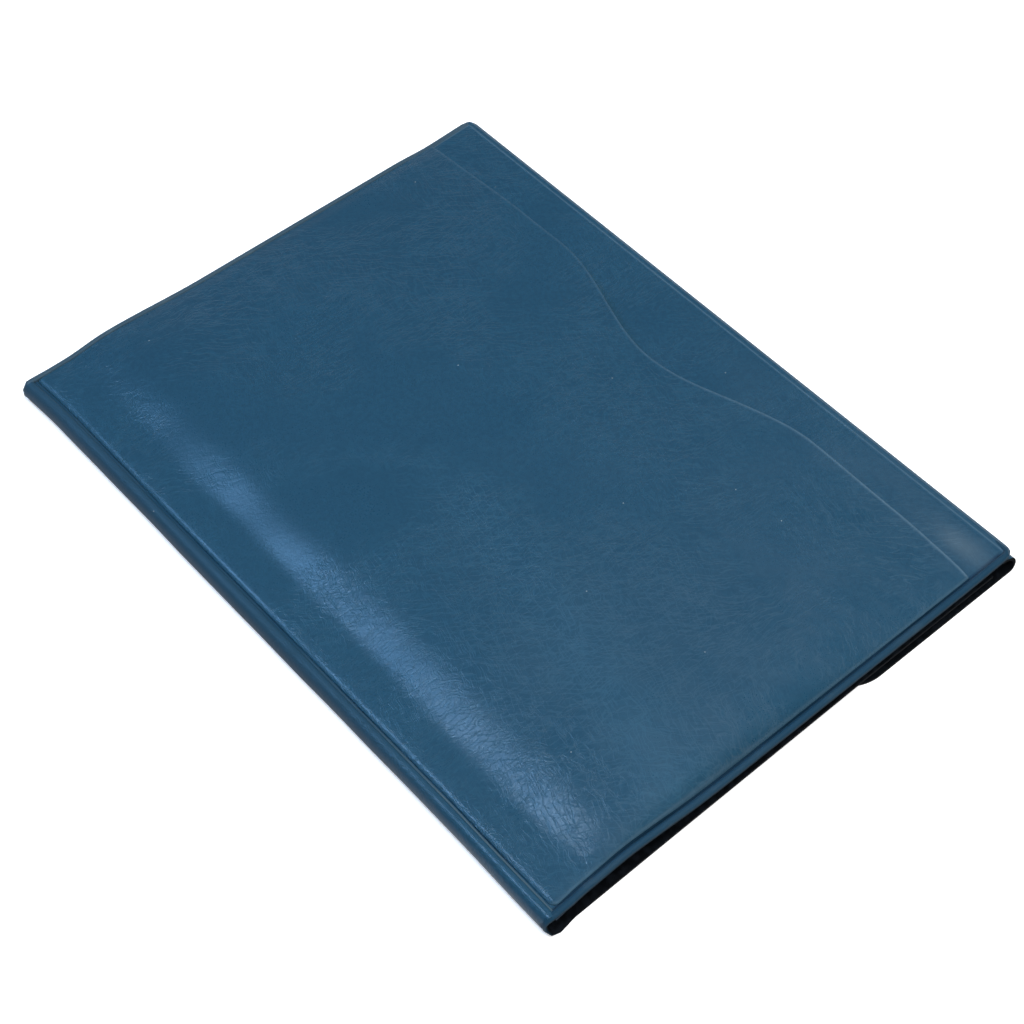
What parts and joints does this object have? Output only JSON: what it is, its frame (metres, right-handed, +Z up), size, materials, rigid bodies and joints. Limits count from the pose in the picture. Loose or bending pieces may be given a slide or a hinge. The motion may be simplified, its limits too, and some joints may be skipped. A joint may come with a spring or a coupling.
{
  "type": "travel organizer pouch",
  "caption": "Flat welded vinyl travel pouch with a wide pocket, a thumb notch in its mouth, a rolled spine and a closing flap folded back underneath.",
  "frame": {"origin": "on the table, under the middle of the pouch", "axes": "+X along the rolled bottom edge, +Y from that edge to the mouth edge, +Z up from the table through the pocket"},
  "size_m": [0.2266, 0.167, 0.0114],
  "materials": {
    "vinyl": "teal-blue soft vinyl, satin, with a fine leather grain",
    "weld": "the same vinyl pressed smooth in the weld, a little darker"
  },
  "bodies": {
    "root": {"pocket_panel": "vinyl", "backing_panel": "vinyl", "back_cover": "vinyl", "closing_flap": "vinyl", "left_rim_bead": "weld", "right_rim_bead": "weld", "bottom_weld_strip": "weld"}
  },
  "joints": []
}
